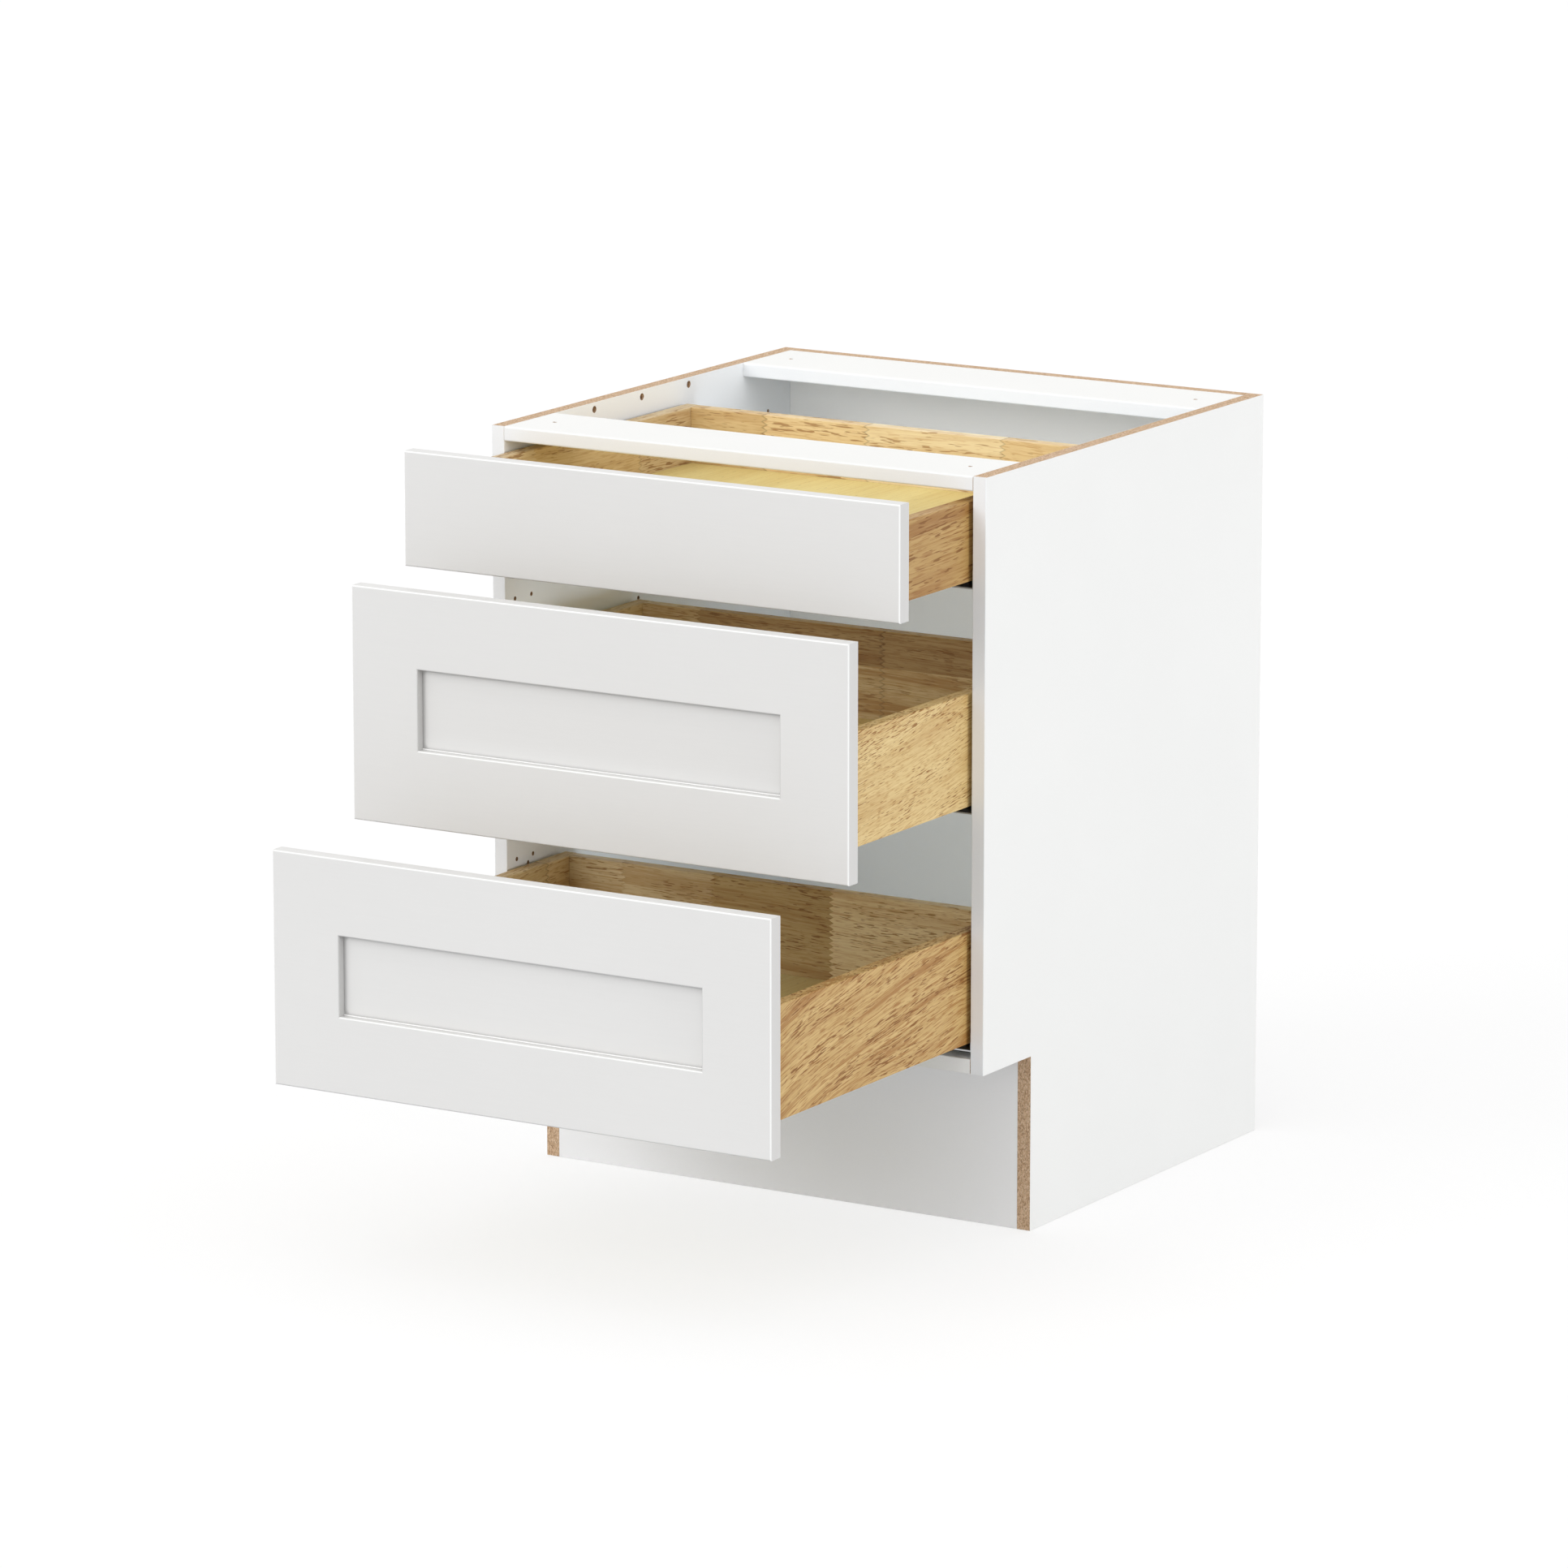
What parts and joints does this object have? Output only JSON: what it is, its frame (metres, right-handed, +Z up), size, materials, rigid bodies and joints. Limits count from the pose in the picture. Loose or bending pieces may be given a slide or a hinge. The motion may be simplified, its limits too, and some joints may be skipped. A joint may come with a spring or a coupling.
{
  "type": "kitchen base cabinet with drawers",
  "caption": "Frameless kitchen base cabinet with a toe recess, an open top between stretchers, and wooden drawers on undermount runners.",
  "frame": {"origin": "on the floor, in the middle of the footprint from the open bottom drawer front to the wall face, drawers open as pictured", "axes": "+Z up, +Y towards the wall behind the cabinet, +X to the right of someone facing the drawers; the drawers open along -Y"},
  "size_m": [0.6096, 1.0204, 0.8255],
  "materials": {
    "white_board": "particleboard faced in satin white melamine",
    "white_front": "satin white lacquer on fibreboard",
    "box_wood": "clear satin on finger-jointed hardwood staves",
    "box_bottom_wood": "clear satin on veneered plywood",
    "runner_steel": "zinc plated, satin",
    "clip_plastic": "matt",
    "lever_plastic": "matt"
  },
  "bodies": {
    "carcass": {"left_side_panel": "white_board", "right_side_panel": "white_board", "bottom_panel": "white_board", "back_panel": "white_board", "front_stretcher": "white_board", "rear_stretcher": "white_board", "toe_kick_board": "white_board", "top_left_cabinet_rail": "runner_steel", "top_right_cabinet_rail": "runner_steel", "middle_left_cabinet_rail": "runner_steel", "middle_right_cabinet_rail": "runner_steel", "bottom_left_cabinet_rail": "runner_steel", "bottom_right_cabinet_rail": "runner_steel"},
    "top_drawer": {"top_drawer_front": "white_front", "top_box_front": "box_wood", "top_box_back": "box_wood", "top_box_left_side": "box_wood", "top_box_right_side": "box_wood", "top_box_bottom": "box_bottom_wood", "top_left_drawer_rail": "runner_steel", "top_right_drawer_rail": "runner_steel", "top_left_locking_clip": "clip_plastic", "top_right_locking_clip": "clip_plastic"},
    "top_middle_rails": {"top_left_middle_rail": "runner_steel", "top_right_middle_rail": "runner_steel"},
    "top_left_release_lever": {"top_left_release_lever": "lever_plastic"},
    "top_right_release_lever": {"top_right_release_lever": "lever_plastic"},
    "middle_drawer": {"middle_front_frame": "white_front", "middle_front_centre_panel": "white_front", "middle_box_front": "box_wood", "middle_box_back": "box_wood", "middle_box_left_side": "box_wood", "middle_box_right_side": "box_wood", "middle_box_bottom": "box_bottom_wood", "middle_left_drawer_rail": "runner_steel", "middle_right_drawer_rail": "runner_steel", "middle_left_locking_clip": "clip_plastic", "middle_right_locking_clip": "clip_plastic"},
    "middle_middle_rails": {"middle_left_middle_rail": "runner_steel", "middle_right_middle_rail": "runner_steel"},
    "middle_left_release_lever": {"middle_left_release_lever": "lever_plastic"},
    "middle_right_release_lever": {"middle_right_release_lever": "lever_plastic"},
    "bottom_drawer": {"bottom_front_frame": "white_front", "bottom_front_centre_panel": "white_front", "bottom_box_front": "box_wood", "bottom_box_back": "box_wood", "bottom_box_left_side": "box_wood", "bottom_box_right_side": "box_wood", "bottom_box_bottom": "box_bottom_wood", "bottom_left_drawer_rail": "runner_steel", "bottom_right_drawer_rail": "runner_steel", "bottom_left_locking_clip": "clip_plastic", "bottom_right_locking_clip": "clip_plastic"},
    "bottom_middle_rails": {"bottom_left_middle_rail": "runner_steel", "bottom_right_middle_rail": "runner_steel"},
    "bottom_left_release_lever": {"bottom_left_release_lever": "lever_plastic"},
    "bottom_right_release_lever": {"bottom_right_release_lever": "lever_plastic"}
  },
  "joints": [
    {"name": "top_drawer_slide", "type": "slide", "parent": "carcass", "child": "top_drawer", "axis": [0, -1, 0], "range_m": [-0.15, 0.35]},
    {"name": "top_middle_rail_slide", "type": "slide", "parent": "carcass", "child": "top_middle_rails", "axis": [0, -1, 0], "range_m": [-0.075, 0.175]},
    {"name": "top_left_lever_pivot", "type": "hinge", "parent": "top_drawer", "child": "top_left_release_lever", "pos_m": [-0.2206, -0.21705, 0.7205], "axis": [0, 0, 1], "range_deg": [0, 10]},
    {"name": "top_right_lever_pivot", "type": "hinge", "parent": "top_drawer", "child": "top_right_release_lever", "pos_m": [0.2206, -0.21705, 0.7205], "axis": [0, 0, -1], "range_deg": [0, 10]},
    {"name": "middle_drawer_slide", "type": "slide", "parent": "carcass", "child": "middle_drawer", "axis": [0, -1, 0], "range_m": [-0.25, 0.25]},
    {"name": "middle_middle_rail_slide", "type": "slide", "parent": "carcass", "child": "middle_middle_rails", "axis": [0, -1, 0], "range_m": [-0.125, 0.125]},
    {"name": "middle_left_lever_pivot", "type": "hinge", "parent": "middle_drawer", "child": "middle_left_release_lever", "pos_m": [-0.2206, -0.31705, 0.482], "axis": [0, 0, 1], "range_deg": [0, 10]},
    {"name": "middle_right_lever_pivot", "type": "hinge", "parent": "middle_drawer", "child": "middle_right_release_lever", "pos_m": [0.2206, -0.31705, 0.482], "axis": [0, 0, -1], "range_deg": [0, 10]},
    {"name": "bottom_drawer_slide", "type": "slide", "parent": "carcass", "child": "bottom_drawer", "axis": [0, -1, 0], "range_m": [-0.4, 0.1]},
    {"name": "bottom_middle_rail_slide", "type": "slide", "parent": "carcass", "child": "bottom_middle_rails", "axis": [0, -1, 0], "range_m": [-0.2, 0.05]},
    {"name": "bottom_left_lever_pivot", "type": "hinge", "parent": "bottom_drawer", "child": "bottom_left_release_lever", "pos_m": [-0.2206, -0.46705, 0.228], "axis": [0, 0, 1], "range_deg": [0, 10]},
    {"name": "bottom_right_lever_pivot", "type": "hinge", "parent": "bottom_drawer", "child": "bottom_right_release_lever", "pos_m": [0.2206, -0.46705, 0.228], "axis": [0, 0, -1], "range_deg": [0, 10]}
  ],
  "couplings": [
    {"joint": "top_middle_rail_slide", "follows": "top_drawer_slide", "ratio": 0.5},
    {"joint": "middle_middle_rail_slide", "follows": "middle_drawer_slide", "ratio": 0.5},
    {"joint": "bottom_middle_rail_slide", "follows": "bottom_drawer_slide", "ratio": 0.5}
  ]
}
